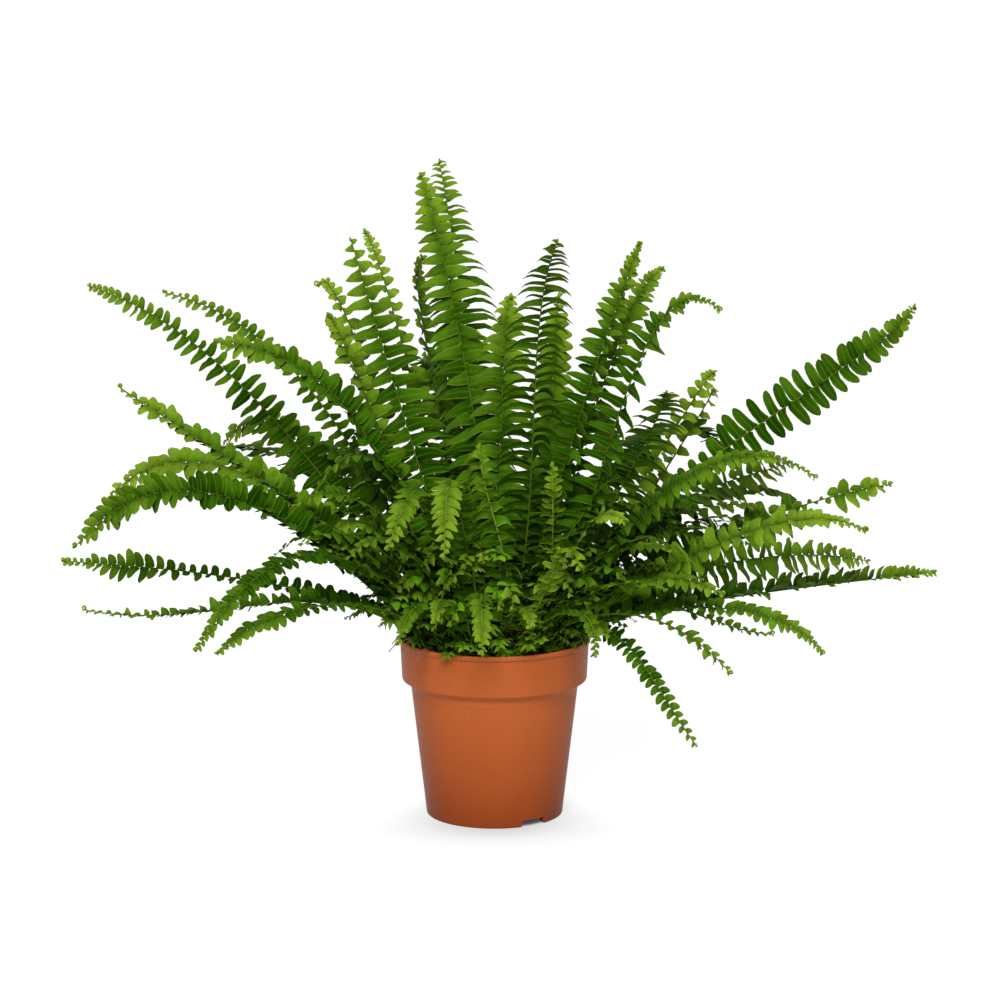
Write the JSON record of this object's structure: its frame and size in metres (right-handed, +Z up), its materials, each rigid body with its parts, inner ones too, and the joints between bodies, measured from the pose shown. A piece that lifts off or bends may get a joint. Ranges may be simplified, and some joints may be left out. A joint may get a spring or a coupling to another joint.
{
  "type": "potted fern",
  "caption": "Sword fern in a round plastic nursery pot, with arching fronds of paired leaflets that rise from the peat and spread to all sides.",
  "frame": {"origin": "middle of the pot's underside, on the surface that the pot stands on", "axes": "+Z up, +Y away from the front of the plant, +X to the right seen from the front, along its widest spread"},
  "size_m": [0.547, 0.3915, 0.4071],
  "materials": {
    "pot": "satin moulded plastic",
    "peat": "damp fibrous potting peat",
    "rhizome": "brown papery scales",
    "frond": "mature leaflets, satin and slightly waxy",
    "young_frond": "young leaflets, soft and light green"
  },
  "bodies": {
    "root": {"pot": "pot", "peat": "peat", "rhizome": "rhizome", "frond_upright_1": "frond", "frond_upright_2": "frond", "frond_upright_3": "frond", "frond_upright_4": "frond", "frond_upright_5": "young_frond", "frond_upright_6": "young_frond", "frond_upright_7": "frond", "frond_upright_8": "frond", "frond_upright_9": "frond", "frond_upright_10": "young_frond", "frond_upright_11": "young_frond", "frond_upright_12": "frond", "frond_upright_13": "young_frond", "frond_upright_14": "young_frond", "frond_upright_15": "young_frond", "frond_upright_16": "young_frond", "frond_right_1": "frond", "frond_right_2": "frond", "frond_right_3": "frond", "frond_right_4": "young_frond", "frond_right_5": "frond", "frond_right_6": "frond", "frond_right_7": "frond", "frond_right_8": "frond", "frond_right_9": "frond", "frond_right_10": "frond", "frond_right_11": "frond", "frond_left_1": "frond", "frond_left_2": "frond", "frond_left_3": "young_frond", "frond_left_4": "frond", "frond_left_5": "frond", "frond_left_6": "young_frond", "frond_left_7": "frond", "frond_left_8": "frond", "frond_left_9": "frond", "frond_left_10": "frond", "frond_left_11": "frond", "frond_left_12": "young_frond", "frond_front_1": "young_frond", "frond_front_2": "young_frond", "frond_front_3": "frond", "frond_front_4": "young_frond", "frond_front_5": "young_frond", "frond_front_6": "young_frond", "frond_front_7": "young_frond", "frond_front_8": "frond", "frond_front_9": "frond", "frond_front_10": "young_frond", "frond_front_11": "young_frond", "frond_front_12": "frond", "frond_back_1": "frond", "frond_back_2": "frond", "frond_back_3": "frond", "frond_back_4": "frond", "frond_back_5": "frond", "frond_back_6": "frond"}
  },
  "joints": []
}
